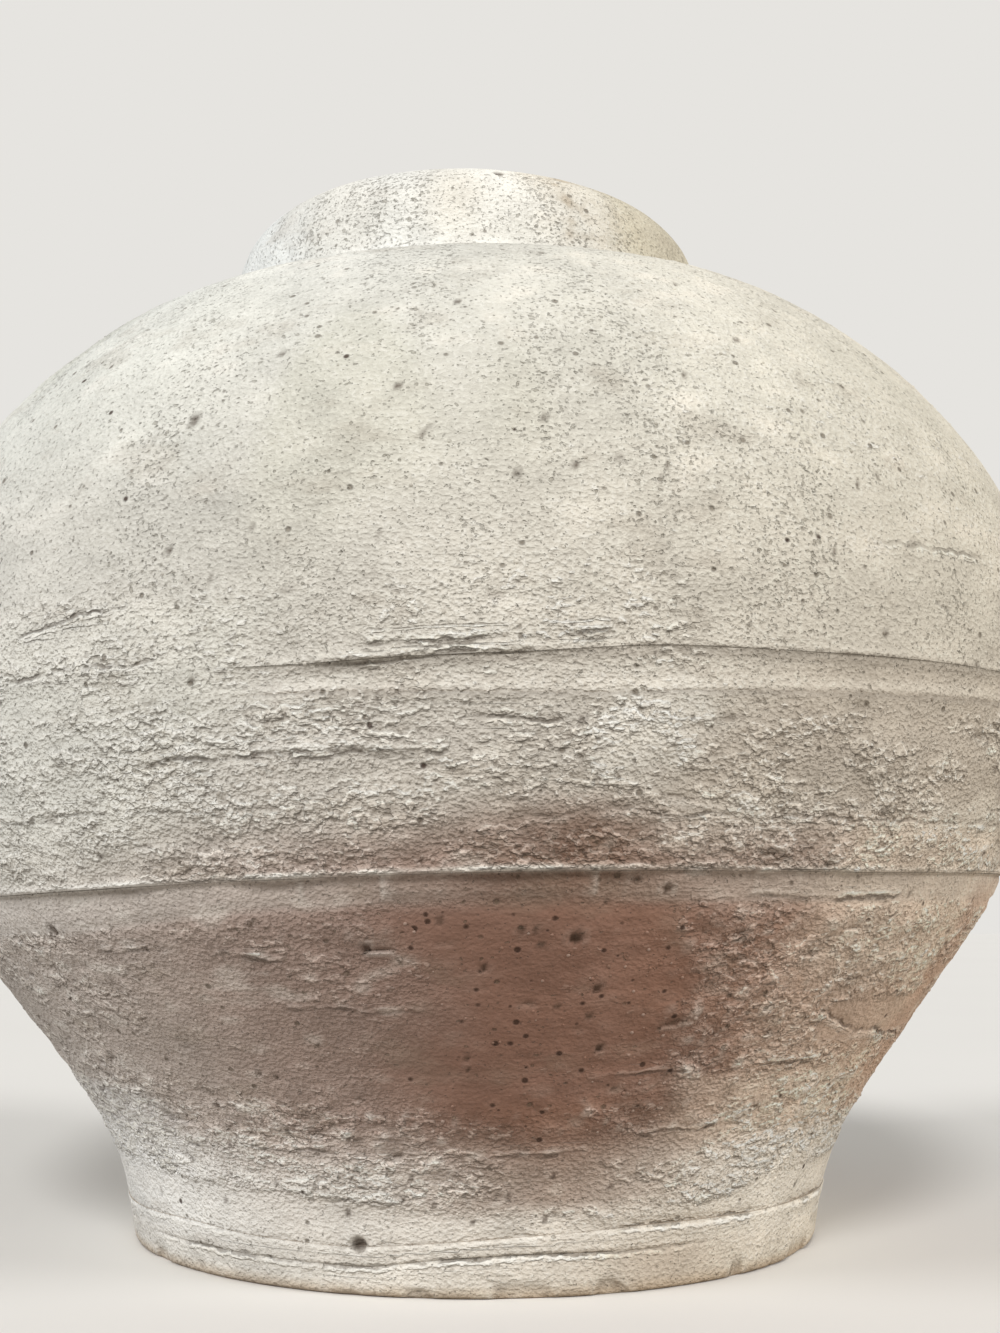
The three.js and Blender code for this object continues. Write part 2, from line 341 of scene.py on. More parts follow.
# torn edges that stand over the wall under them: their points and height
EDGES = [
    ([(-26.1, 165.5), (-17, 167.6), (-10.8, 169.0), (-2.1, 167.9)], 0.9),
    ([(-14.0, 165.9), (-10.9, 166.6), (-4.1, 165.4)], 0.6),
    ([(-12.0, 191.0), (-4.1, 193.0), (4.0, 194.6)], 1.1),
    ([(-8.0, 196.6), (-3.9, 197.6), (3.0, 198.6)], 0.9),
    ([(6.1, 199.1), (9.6, 199.7)], 0.8),
    ([(18.4, 124.4), (30.0, 124.1), (42.0, 124.6)], 0.7),
    ([(-38.0, 111.5), (-27.5, 111.7)], 0.4),
    ([(-24.0, 109.6), (-17.0, 109.0)], 0.5),
    ([(-18.6, 93.6), (-4.8, 93.2)], 0.5),
    ([(-26.6, 79.4), (-19.6, 79.4)], 0.5),
    ([(12.0, 71.0), (30.0, 74.0), (44.0, 72.0)], 0.5),
    ([(-60, 151.0), (-38, 152.5), (-20, 151.5)], 0.4),
    ([(-30.0, 47.0), (-18.3, 47.6)], 0.6),
    ([(-16.0, 52.0), (-8.0, 51.4)], 0.6),
    ([(2.0, 46.0), (14.0, 47.0)], 0.6),
    ([(20.0, 52.0), (32.0, 54.0)], 0.5),
    ([(88.0, 128.0), (120.0, 126.0), (150.0, 127.0)], 0.6),
]

# where the thrower's finger dabbed the clay under the main joint: the edges seen in front
FRONT_DABS = [-34.0, -29.5, -24.0, -17.4, -14.4, -7.7, -2.5, 4.0, 10.0, 12.1, 18.2, 24.0, 28.5]

# pits as (angle, height, radius, depth)
FRONT_PITS = [
    (8.7, 113.9, 2.1, 1.3), (3.9, 116.5, 1.2, 0.9), (5.1, 116.4, 1.0, 0.8), (0.8, 105.6, 1.3, 1.0),
    (11.4, 99.0, 1.5, 1.0), (12.9, 80.6, 1.4, 1.0), (-15.8, 16.4, 2.6, 1.8), (-43.0, 118.0, 2.2, 0.9),
    (7.6, 247.3, 1.3, 0.5), (14.8, 247.7, 1.2, 0.5), (-5.9, 274.9, 1.3, 0.5), (-23.4, 269.4, 2.2, 0.5),
    (8.3, 394.6, 2.4, 1.4), (-9.5, 112.0, 1.5, 1.0), (16.0, 127.5, 1.6, 1.0), (31.0, 134.0, 1.4, 1.0),
]
PIT_COUNT = 420

# every line on the wall: how far above its floor each place near it is, and how strong it is there
MARK = np.full(ANGLE.shape, MARK_REACH)
MARKED = np.zeros(ANGLE.shape)


def note_mark(middle, strength, standing=False):
    """Notes a line on the wall. A standing edge has its shadow under it, so it is noted upside down."""
    away = REACH - middle[None, :]
    near = (np.abs(away) < np.minimum(np.abs(MARK), MARK_REACH)) & (strength[None, :] > 0.02)
    MARK[near] = (-away - 0.6 if standing else away)[near]
    MARKED[near] = (strength[None, :] * (1.0 - smooth(np.abs(away), 0.6 * MARK_REACH, MARK_REACH)))[near]


def drawn_line(points, seed):
    """The distance up the wall of a line drawn through points by hand, and its broken strength."""
    angles = [point[0] for point in points]
    middle = BODY.reach(np.interp(SHEET_ANGLES, angles, [point[1] for point in points]))
    middle = middle + 0.5 * ragged(seed, 14.0) + 0.25 * ragged(seed + 1, 4.0)
    ends = between(SHEET_ANGLES, angles[0] + 0.8, angles[-1] - 0.8, 1.2)
    return middle, np.clip(0.85 + 0.45 * ragged(seed + 2, 9.0), 0.1, 1.4) * ends


def score(relief, points, depth, width, lip, seed):
    """A groove with a raised lip under it."""
    middle, broken = drawn_line(points, seed)
    away = REACH - middle[None, :]
    relief += broken[None, :] * 0.5 * depth * (lip * bell(away, -1.9 * width, width) - bell(away, 0.0, width))
    note_mark(middle, np.clip(broken * depth * 1.2, 0.0, 1.0))


def torn_edge(relief, points, height, seed):
    """A torn edge that stands over the wall under it."""
    middle, broken = drawn_line(points, seed)
    away = REACH - middle[None, :]
    relief += broken[None, :] * height * (0.5 * bell(away, 1.3, 1.3) - 0.3 * bell(away, -1.2, 1.1))
    note_mark(middle, np.clip(broken * height * 1.6, 0.0, 1.0), standing=True)


def dab_edges():
    """The angles between one finger dab and the next, all round the jar."""
    edges = list(FRONT_DABS)
    draw = np.random.default_rng(41)
    while edges[-1] < FRONT_DABS[0] + 360.0 - 6.0:
        edges.append(edges[-1] + draw.uniform(2.8, 5.8))
    return np.array([*edges[:-1], FRONT_DABS[0] + 360.0])


def dabs():
    """Shallow facets left by a finger, each hollowed a little and pushed in by its own depth."""
    edges = dab_edges()
    angle = (SHEET_ANGLES - edges[0]) % 360.0 + edges[0]
    cell = np.clip(np.searchsorted(edges, angle, side="right") - 1, 0, len(edges) - 2)
    share = (angle - edges[cell]) / (edges[cell + 1] - edges[cell])
    push = np.random.default_rng(42).uniform(-0.45, 0.3, len(edges))[cell]
    return (push + 0.5 * (share - 0.5) ** 2)[None, :]


def pit_list():
    """The pits seen in front, and a scatter of small ones everywhere."""
    draw = np.random.default_rng(51)
    pits = list(FRONT_PITS)
    for _ in range(PIT_COUNT):
        height = 24.0 + 320.0 * draw.uniform() ** 1.4
        pits.append((draw.uniform(-180.0, 180.0), height, draw.uniform(0.7, 1.25), draw.uniform(0.3, 0.7)))
    return pits


def sink_pits(relief, dark):
    """Sinks every pit into the relief and darkens its floor."""
    for angle, height, radius, depth in pit_list():
        on_collar = height > NECK_BASE
        reach = NECK_REACH + COLLAR.reach(height) if on_collar else BODY.reach(height)
        around_step = AROUND_STEP * (WAIST_RADIUS if on_collar else BODY.at(reach)[0]) / BELLY_RADIUS
        row, column = int(reach / SHEET_STEP), int((angle + 180.0) * SHEET_COLUMNS / 360.0)
        span = int(3 * radius / around_step) + 2
        rows = np.arange(max(0, row - 8), min(SHEET_ROWS, row + 9))
        columns = np.arange(column - span, column + span + 1)
        near = np.hypot(
            (columns[None, :] + 0.5 - (angle + 180.0) * SHEET_COLUMNS / 360.0) * around_step,
            rows[:, None] * SHEET_STEP - reach,
        )
        place = np.ix_(rows, columns % SHEET_COLUMNS)
        floor = 1.0 - smooth(near, 0.55 * radius, 1.25 * radius)
        relief[place] -= depth * floor
        relief[place] += 0.22 * depth * bell(near, 1.6 * radius, 0.5 * radius)
        dark[place] = np.maximum(dark[place], floor)


def smooth_patch():
    """The bare brown patch that the thrower smoothed under the main joint."""
    stray = 1.6 * grain(61, 22.0, 16.0)
    low_side, high_side = HEIGHT + 3.0 * stray, HEIGHT + 0.6 * stray
    left, right = ANGLE + 1.5 * stray, ANGLE + 0.8 * stray + 0.08 * (HEIGHT - 100.0) * (HEIGHT < 100.0)
    wide = smooth(left, -15.0, 3.0) * (1.0 - smooth(right, 16.0, 23.0))
    return wide * smooth(low_side, 44.0, 78.0) * (1.0 - smooth(high_side, 121.0, 128.0))


PATCH = smooth_patch()


def build_grit():
    """How gritty and torn each place of the wall is, about 0 to 1."""
    fine = 0.22 + 0.1 * smooth(-HEIGHT, -190.0, -120.0)
    middle = between(HEIGHT, 137.0, 176.0, 10.0) * (1.0 - 0.5 * between(ANGLE, -140.0, -36.0, 18.0))
    torn = between(HEIGHT, TORN_HEIGHTS, 58.0, 6.0)
    side = between(HEIGHT, 58.0, 114.0, 10.0) * (1.0 - 0.35 * between(ANGLE, -30.0, -4.0, 10.0))
    foot = 1.0 - smooth(HEIGHT, TORN_HEIGHTS - 8.0, TORN_HEIGHTS)
    above_band = between(HEIGHT, 197.0, 210.0, 18.0) * (1.0 - 0.5 * smooth(ANGLE, 0.0, 30.0))
    grit = fine + 0.42 * middle + 0.9 * torn + 0.62 * side + 0.2 * above_band
    grit *= np.clip(1.0 + 0.3 * grain(11, 60.0, 30.0), 0.4, 1.6)
    grit *= (1.0 - 0.7 * between(HEIGHT, LIP_HEIGHTS, SEAM_HEIGHTS, 1.0)) * (1.0 - 0.6 * foot)
    grit *= 1.0 - 0.5 * PATCH
    grit += 0.7 * bell(ANGLE + 0.6 * grain(12, 12.0, 9.0), 18.6, 1.5) * between(HEIGHT, 104.0, 122.0, 3.0)
    grit *= 1.0 - 0.8 * between(ANGLE, 42.0, 68.0, 3.0) * between(HEIGHT, 81.0, 90.0, 3.0)
    return np.where(ON_COLLAR, 0.12, np.clip(grit, 0.04, 1.25))


def build_relief():
    """The whole outside relief in millimetres, and where it is painted darker: the torn grooves and the
    floors of the pits.
    """
    relief = 0.22 * grain(21, 190.0, 90.0) + 0.08 * grain(22, 420.0, 7.0) + 0.11 * grain(23, 40.0, 26.0)
    relief += GRIT * (0.06 * grain(24, 26.0, 3.0) + 0.24 * grain(25, 7.0, 5.0) + 0.17 * grain(27, 3.6, 3.0))
    tears = smooth(grain(26, 8.0, 2.2), 1.8, 2.8) * np.clip(1.4 * GRIT, 0.0, 1.2)
    relief += 0.4 * np.roll(tears, -2, axis=0) - 0.8 * tears
    relief += 0.05 * PATCH * grain(28, 60.0, 1.6)
    dark = 0.3 * tears
    for index, (points, depth, width, lip) in enumerate(SCORES):
        score(relief, points, depth, width, lip, 100 + 3 * index)
    for index, (points, height) in enumerate(EDGES):
        torn_edge(relief, points, height, 200 + 3 * index)
    joints = [
        (3, 0.12 * SEAM_STRENGTH, True), (5, 0.35 * BAND_STRENGTH, True),
        (1, CRACK_STRENGTH, False), (2, 0.8 * LEDGE_STRENGTH, False), (4, 0.4 * BAND_STRENGTH, False),
    ]
    for knot, strength, standing in joints:
        note_mark(BODY.reach(KNOTS[knot] + SHEET_STRAYS[knot]), np.clip(strength, 0.0, 1.0), standing)
    lip_band = between(HEIGHT, LIP_HEIGHTS + 1.0, SEAM_HEIGHTS, 1.5)
    relief += lip_band * (dabs() + 0.3)
    chips = smooth(grain(30, 14.0, 7.0), 0.6, 1.5) * bell(HEIGHT, 2.0, 3.4) * (1.0 - ON_COLLAR)
    relief -= 1.7 * chips
    relief -= 0.25 * bell(HEIGHT, LIP_HEIGHTS - 1.0, 1.4)
    sink_pits(relief, dark)
    smear = bell(turn_apart(ANGLE, 12.0), 0.0, 5.0) * between(HEIGHT, 160.0, 180.0, 6.0)
    relief += smear * (0.35 + 0.3 * grain(29, 9.0, 6.0))
    relief -= 0.9 * bell(HEIGHT, BELLY_HEIGHT, 55.0)
    relief = np.where(ON_COLLAR, 0.45 * relief - 0.25, relief)
    room = BELLY_RADIUS - BODY.at(REACH)[0]
    return np.where(ON_COLLAR, relief, np.minimum(relief, room - 0.02)), dark


GRIT = build_grit()
RELIEF, DARK = build_relief()


def sheet_value(sheet, angle, reach):
    """Reads a sheet between its points."""
    column = (np.asarray(angle) + 180.0) * SHEET_COLUMNS / 360.0
    row = np.clip(np.asarray(reach) / SHEET_STEP, 0, SHEET_ROWS - 1.001)
    left, low = np.floor(column).astype(int), np.floor(row).astype(int)
    across, up = column - left, row - low
    if sheet.ndim == 3:
        across, up = across[:, None], up[:, None]
    left, right = left % SHEET_COLUMNS, (left + 1) % SHEET_COLUMNS
    bottom = sheet[low, left] * (1 - across) + sheet[low, right] * across
    top = sheet[low + 1, left] * (1 - across) + sheet[low + 1, right] * across
    return bottom * (1 - up) + top * up


# The colours painted on the wall

def linear(text):
    """An sRGB colour such as "c9bfae" as the linear light that Blender's colours are in."""
    parts = np.array([int(text[place:place + 2], 16) for place in (0, 2, 4)]) / 255.0
    return np.where(parts <= 0.04045, parts / 12.92, ((parts + 0.055) / 1.055) ** 2.4)


def tinted(tone, text, share):
    return tone + (linear(text) - tone) * np.clip(share, 0.0, 1.0)[..., None]


# the clay's own colour up the wall, as (height, colour)
TONES = [
    (0.0, "b9a690"), (1.8, "c6b7a3"), (5.0, "ddd6ca"), (22.0, "e0d9ce"), (36.0, "ddd4c9"), (52.0, "cfc3b7"),
    (75.0, "bbafa3"), (112.0, "bfb3a7"), (124.0, "cfc5ba"), (140.0, "cbc3b7"), (170.0, "cdc6bb"),
    (200.0, "d2ccc0"), (235.0, "d3cec2"), (290.0, "d5d2c7"), (351.5, "d9d7ce"),
]

# the fair clay at the right of the brown patch is stronger in its upper part
FAIR_SHARE = 0.28 + 0.32 * smooth(HEIGHT, 92.0, 108.0)

# broad areas laid over it in turn: the colour and its share, the angles and then the heights, each
# as (from, to, soft edge, stray), or as (middle, width, stray) where it fades away from a middle
AREAS = [
    ("e2ded1", 0.75, (-150.0, -30.0, 16.0, 5.0), (134.0, 206.0, 9.0, 0.0)),
    ("f1eee0", 0.35, (-150.0, -26.0, 14.0, 5.0), (280.0, 420.0, 40.0, 0.0)),
    ("f1eadc", 0.45, (-60.0, -26.0, 10.0, 0.0), (197.0, 213.0, 7.0, 0.0)),
    ("cda284", 0.50, (28.0, 150.0, 16.0, 5.0), (62.0, 116.0, 22.0, 0.0)),
    ("9d8d7c", 0.35, (22.0, 60.0, 12.0, 4.0), (156.0, 190.0, 8.0, 0.0)),
    # the dusky brown down the front, here and in the next row, is partly the clay's own colour and partly
    # painted shade, darker at the front than at the sides
    ("866254", 0.80, (6.0, 37.0, 2.0), (60.0, 130.0, 26.0, 3.0)),
    ("8c6a58", 0.30, (20.0, 31.0, 6.0, 2.0), (68.0, 116.0, 10.0, 3.0)),
    ("ecdcca", FAIR_SHARE, (33.0, 56.0, 7.0, 2.0), (46.0, 141.0, 9.0, 2.0)),
    # the paler low sides, here and in the next row, are partly the clay's own colour and partly painted light
    # from the sides
    ("ebe6df", 0.60, (-90.0, -48.0, 9.0, 0.0), (36.0, 58.0, 9.0, 0.0)),
    ("e6d8c8", 0.40, (24.0, 56.0, 7.0, 2.0), (50.0, 64.0, 8.0, 2.0)),
    # the dusky brown of the front over the foot and over the main joint is likewise partly painted shade
    ("7f5b45", 0.60, (9.0, 15.0, 3.0), (32.0, 60.0, 8.0, 2.0)),
    ("7e5f4d", 0.80, (9.0, 12.0, 3.0), (131.0, 142.0, 16.0, 2.0)),
]

# how much more red, green and blue the clay has at its right side, and less at its left
WARMER_TO_THE_RIGHT = (0.05, 0.0, -0.08)


def spread(value, stray, area):
    """1 where a value is in an area's span, with a soft edge that strays."""
    value = value + area[-1] * stray
    return bell(value, *area[:2]) if len(area) == 3 else between(value, *area[:3])


def wall_tone(blotch, fleck, streak):
    """The colour of the body's clay, with the bare brown patch; its dusky front is partly painted shade, its
    paler low sides partly painted light.
    """
    heights = [height for height, _ in TONES]
    colours = np.stack([linear(text) for _, text in TONES])
    stray = HEIGHT + 4.0 * grain(71, 60.0, 22.0) * smooth(HEIGHT, 20.0, 45.0)
    tone = np.stack([np.interp(stray, heights, colours[:, part]) for part in range(3)], -1)
    for text, share, angles, levels in AREAS:
        tone = tinted(tone, text, share * spread(ANGLE, blotch, angles) * spread(HEIGHT, blotch, levels))
    tone = tinted(tone, "8b6654", 0.75 * PATCH * (0.92 + 0.05 * blotch))
    # the foot is paler at its sides: partly its own colour and partly painted light from the sides
    pale_and_lit_foot_sides = smooth(np.abs(ANGLE), 26.0, 44.0) * between(HEIGHT, 17.0, 44.0, 9.0)
    tone = tinted(tone, "f3efe6", 0.5 * pale_and_lit_foot_sides)
    sandy_foot = bell(ANGLE, 28.0, 13.0) * between(HEIGHT, 4.0, 13.0, 4.0)
    tone = tinted(tone, "9d8a76", 0.5 * sandy_foot)
    lip_band = between(HEIGHT, LIP_HEIGHTS, SEAM_HEIGHTS, 3.0) * between(ANGLE, -140.0, 52.0, 12.0)
    tone = tinted(tone, "c9c0b5", 0.5 * lip_band * (1.0 - 0.9 * bell(ANGLE, 5.0, 15.0)))
    tone = tinted(tone, "7f6a58", 0.15 * lip_band * between(ANGLE + blotch, -6.0, 16.0, 6.0))
    lime = smooth(0.3 * blotch + 0.3 * streak + 0.8 * fleck, 0.8, 2.2)
    tone = tinted(tone, "e2dbcf", 0.3 * lime * (1.0 - 0.9 * PATCH))
    smear = between(ANGLE + 1.5 * blotch + fleck, 8.5, 14.0, 4.0)
    tone = tinted(tone, "e6e1d6", 0.6 * smear * between(HEIGHT + 3.0 * fleck, 164.0, 183.0, 7.0))
    mossy = smooth(grain(75, 26.0, 60.0), 0.4, 1.8) * smooth(HEIGHT, 200.0, 260.0)
    return tinted(tone, "bdbaa4", 0.25 * mossy)


def collar_tone(blotch, fleck, streak):
    """The colour of the collar, drab on its right side, with a brown stain down its front."""
    pale = np.broadcast_to(linear("e7e5dd"), (*ANGLE.shape, 3))
    tone = tinted(pale, "cdbfa6", 0.3 * smooth(blotch, 0.2, 1.6))
    tone = tinted(tone, "ada283", 0.5 * between(ANGLE, 42.0, 160.0, 14.0))
    stain = bell(ANGLE + 0.8 * fleck, 25.0, 5.5) + 0.45 * between(ANGLE + 2.0 * fleck, 27.0, 38.0, 4.0)
    return tinted(tone, "8f7b5e", 0.22 * stain * np.clip(0.9 + 0.5 * fleck + 0.4 * streak, 0.0, 1.8))


def joint_tone(tone):
    """The light and shade along the luting band's edges and the main joint's rolled rim."""
    band = 1.0 - 0.85 * between(SHEET_ANGLES, -110.0, -15.0, 5.0)
    band -= 0.5 * between(SHEET_ANGLES, 56.0, 130.0, 12.0)
    under_top = HEIGHT - BAND_HIGH - SHEET_STRAYS[5][None, :]
    over_foot = HEIGHT - BAND_LOW - SHEET_STRAYS[4][None, :]
    tone = tinted(tone, "6f6255", 0.34 * band * between(under_top, -2.2, -0.4, 1.8))
    tone = tinted(tone, "f2ece0", 0.3 * band * bell(over_foot, 2.4, 2.0))
    tone = tinted(tone, "5c4f43", 0.35 * band * bell(over_foot, -0.8, 1.0))
    rim = SEAM_STRENGTH * (1.0 + 0.3 * ragged(76, 6.0))
    tone = tinted(tone, "f4efe4", 0.55 * rim * bell(HEIGHT - SEAM_HEIGHTS, 0.9, 0.8))
    return tinted(tone, "5c4a3f", 0.12 * rim * bell(HEIGHT - SEAM_HEIGHTS, -1.6, 1.5))


def build_tone():
    """The painted colour of the whole sheet, in linear light."""
    blotch, fleck, streak = grain(72, 48.0, 34.0), grain(73, 8.0, 4.0), grain(74, 50.0, 2.4)
    on_collar = ON_COLLAR[..., None]
    tone = np.where(on_collar, collar_tone(blotch, fleck, streak), wall_tone(blotch, fleck, streak))
    cavity = RELIEF - soften(RELIEF, 7.0, 4.0)
    # raised places of the relief are painted paler, a painted highlight, and its hollows are painted darker
    tone = tinted(tone, "efe9df", 0.35 * smooth(cavity, 0.08, 0.5) * (1.0 - 0.8 * PATCH))
    tone = tinted(tone, "6b5d51", 0.32 * smooth(-cavity, 0.12, 0.6))
    tone = tinted(joint_tone(tone), "4a3a2e", 0.8 * DARK)
    tone = tone * (1.0 + 0.03 * fleck + 0.03 * blotch + 0.03 * grain(77, 16.0, 12.0))[..., None]
    return tone * (1.0 + np.sin(np.radians(ANGLE))[..., None] * np.array(WARMER_TO_THE_RIGHT))


def build_pitting():
    """How pitted each place is: more in streaks up the wall, on the shoulder and on the collar's front."""
    high = smooth(HEIGHT, 150.0, 220.0)
    streaks = smooth(grain(81, 13.0, 48.0), -0.2, 1.6)
    pitted = (0.15 + 0.3 * high + 0.65 * streaks * (0.3 + 0.7 * high)) * (1.0 - 0.7 * PATCH)
    collar_front = ON_COLLAR * between(ANGLE, -34.0, 24.0, 9.0) * between(HEIGHT, 362.0, 392.0, 6.0)
    return pitted + 0.3 * collar_front


TONE = build_tone()
PITTED = build_pitting()
INSIDE_CLAY = "b3a696"


# The shells

OUTSIDE, INSIDE, UNDERSIDE = 0, 1, 2


class Row:
    """One ring of points, with its distance up the sheet where it is on the outside."""

    def __init__(self, points, reach=None, skin=None):
        self.points = points
        self.reach = reach
        self.skin = (INSIDE if reach is None else OUTSIDE) if skin is None else skin


def spaced(start, end, step):
    """Distances from start to end, closer together near both ends."""
    places = [start]
    while places[-1] < end:
        edge = max(0.0, min(places[-1] - start, end - places[-1]))
        places.append(places[-1] + FINE_STEP + (step - FINE_STEP) * float(smooth(edge, 0.0, FINE_REACH)))
    places = np.array(places)
    return start + (places - start) * (end - start) / (places[-1] - start)


def outside_rows(low, high, step, draw_in=None):
    """Rows up the outside of the body between two joint heights, with their relief."""
    rows = []
    for along in spaced(float(BODY.reach(low)), float(BODY.reach(high)), step):
        base = float(BODY.at(along)[1])
        reach = BODY.reach(base + wander(base))
        rise = sheet_value(RELIEF, TURNS, reach)
        if draw_in is not None:
            rise = rise - draw_in(base)
        rows.append(Row(raised(BODY.at(reach), rise), reach))
    return rows


def raised(place, rise):
    """A row of the outline raised by its relief: straight out on the upright wall, square on above it."""
    radius, height, out, up = place
    upright = smooth(out, 0.6, 0.8)
    wider = rise * (upright / np.maximum(out, 0.5) + (1.0 - upright) * out)
    return settle(radius + wider, TURNS, height + (1.0 - upright) * up * rise)


def flat_ring(radius, height, skin=None):
    """A round ring at a height."""
    return Row(settle(np.full(COLUMNS, float(radius)), TURNS, np.zeros(COLUMNS) + height), skin=skin)


def ring(radius, base, up=0.0):
    """A ring inside a joint, which strays up and down with it."""
    return flat_ring(radius, base + up + wander(base))


def inside_rows(high, low):
    """Rows down the inside between two heights, with the rings that the thrower's fingers left."""
    start, end = np.interp([high, low], INSIDE_HEIGHTS, BODY.length)
    rows = []
    for along in np.linspace(start, end, max(2, int(round((start - end) / INSIDE_STEP)) + 1)):
        base = float(np.interp(along, BODY.length, INSIDE_HEIGHTS))
        height = base + wander(base)
        rings = 0.35 * np.sin(2 * math.pi * (along / 26.0 + TURNS / 360.0))
        rows.append(Row(settle(inside_radius(height) + rings, TURNS, height)))
    return rows


def ridge_rows(middle, base, clearance):
    """The ridge across the middle of a joint, grown by a clearance for the groove that takes it."""
    half, top = RIDGE_WIDTH / 2 + clearance, RIDGE_HEIGHT + clearance
    places = [(half, 0.0), (half - RIDGE_DRAFT, top), (RIDGE_DRAFT - half, top), (-half, 0.0)]
    return [ring(middle + out, base, up) for out, up in places]


def wall_section(low, high, step, draw_in=None, grooved=True):
    """The closed rows of one wall section between two joints. The joint all but closes at the skin."""
    floor = low + SLIP
    groove = ridge_rows(middle_at(low), floor, SLIP)[::-1] if grooved else []
    return [
        *outside_rows(low + SKIN_GAP, high, step, draw_in),
        *ridge_rows(middle_at(high), high, 0.0),
        *inside_rows(high, floor),
        *groove,
    ]


def around_jar(values):
    """A value for each column of the sheet, read at the shells' columns."""
    return np.interp(TURNS, SHEET_ANGLES, values, period=360.0)


SEAM_AT, BAND_AT = around_jar(SEAM_STRENGTH), around_jar(BAND_STRENGTH)
LEDGE_AT, CRACK_AT = around_jar(LEDGE_STRENGTH), around_jar(CRACK_STRENGTH)
SEAM_UNEVEN, EDGE_UNEVEN = around_jar(0.3 * ragged(91, 16.0)), around_jar(0.25 * ragged(92, 9.0))


def under_the_lip(base):
    """The lower section is drawn in under the overhanging main joint, and stands back above the coil."""
    undercut = 0.6 * SEAM_AT * bell(base, BELLY_SEAM, 1.7)
    coil_step = 0.9 * LEDGE_AT * bell(base, COIL_TOP, 2.2)
    near = max(0.0, 1.0 - (BELLY_SEAM - base) / SEAM_FADE)
    return near * (SEAM_LIP + SEAM_UNEVEN) + undercut + coil_step


def rolled_edge(base):
    """The section above it swells into a thin rolled edge at the main joint, and dips at the band."""
    swell = (0.8 * SEAM_AT + EDGE_UNEVEN) * bell(base, BELLY_SEAM + 0.9, 1.4)
    rounded = 0.25 * max(0.0, 1.0 - (base - BELLY_SEAM) / 0.6) ** 2
    return rounded - swell - 0.35 * BAND_AT * bell(base, BAND_LOW - 1.2, 1.8)


def coved_band(base):
    """The band is hollowed by the finger that pressed it on, deepest under its upper edge."""
    share = min(1.0, max(0.0, (base - BAND_LOW) / (BAND_HIGH - BAND_LOW)))
    edges = 0.3 * bell(base, BAND_HIGH, 1.3) + 0.2 * bell(base, BAND_LOW, 0.9)
    return BAND_AT * (0.8 * BAND_DEPTH * math.sin(math.pi * share) + edges)


def over_the_band(base):
    """The shoulder's lower edge stands out over the band as a thin torn lip."""
    return -(0.3 + EDGE_UNEVEN) * BAND_AT * bell(base, BAND_HIGH + 0.9, 1.4)


def swollen_coil(base):
    """The coil swells out under the wall as a ledge, and its joints stand open as a crack in places."""
    crack = 0.7 * bell(base, SLAB_TOP, 0.5)
    swell = 0.9 * bell(base, COIL_TOP - 1.6, 2.2) - 0.5 * bell(base, COIL_TOP, 0.5)
    return CRACK_AT * crack - LEDGE_AT * swell


def shoulder_rows():
    """The dome, closed by the flat seat round the neck hole."""
    floor = BAND_HIGH + SLIP
    return [
        *outside_rows(BAND_HIGH + SKIN_GAP, NECK_BASE, SHOULDER_STEP, over_the_band),
        *ridge_rows((COLLAR_RADIUS + NECK_HOLE) / 2, NECK_BASE, 0.0),
        ring(NECK_HOLE, NECK_BASE),
        ring(NECK_HOLE, NECK_BASE - WALL),
        *inside_rows(float(INSIDE_HEIGHTS[-1]), floor),
        *ridge_rows(middle_at(BAND_HIGH), floor, SLIP)[::-1],
    ]


def collar_rows():
    """The collar from its seat up over the lip, down the throat and back along its underside."""
    rows = []
    length = float(COLLAR.length[-1])
    for along in spaced(0.0, length, COLLAR_STEP):
        radius, height, out, up = COLLAR.at(along)
        reach = np.full(COLUMNS, NECK_REACH + along)
        fade = float(smooth(along, 0.0, 4.0) * (1.0 - smooth(along, length - 12.0, length)))
        sunk = LIP_SUNK * float(smooth(height, 385.0, 397.0))
        rise = fade * sheet_value(RELIEF, TURNS, reach) - sunk
        rows.append(Row(settle(radius + out * rise, TURNS, height + up * rise), reach))
    throat = NECK_BASE + COLLAR_HEIGHT - LIP_DEPTH
    floor = NECK_BASE + SLIP
    for share in np.linspace(0.0, 1.0, 9)[1:]:
        rings = 0.3 * math.sin(4 * math.pi * share)
        radius = MOUTH_RADIUS + (NECK_HOLE - MOUTH_RADIUS) * share + rings
        rows.append(flat_ring(radius, throat + (floor - throat) * share))
    return [*rows, *ridge_rows((COLLAR_RADIUS + NECK_HOLE) / 2, floor, SLIP)[::-1]]


def slab_rows():
    """The floor slab: from the middle of its underside out, up its edge and back over its top."""
    rim = FOOT_RADIUS - FOOT_BEVEL
    rows = [flat_ring(radius, 0.0, UNDERSIDE) for radius in (40.0, 85.0, 112.0, 123.0, rim)]
    edge = float(BODY.at(BODY.reach(FOOT_BEVEL))[0])
    for turn in np.radians([30.0, 60.0]):
        height = np.full(COLUMNS, FOOT_BEVEL * (1.0 - math.cos(turn)))
        chipped = np.minimum(sheet_value(RELIEF, TURNS, height), 0.0)
        rows.append(Row(settle(rim + math.sin(turn) * (edge - rim + chipped), TURNS, height), height))
    rows += outside_rows(FOOT_BEVEL, SLAB_TOP, SLAB_STEP, swollen_coil)
    for radius in (128.0, 120.0, 104.0, 70.0, 35.0):
        rows.append(flat_ring(radius, SLAB_TOP + STRAYS[1] * float(smooth(radius, 60.0, 112.0))))
    return rows


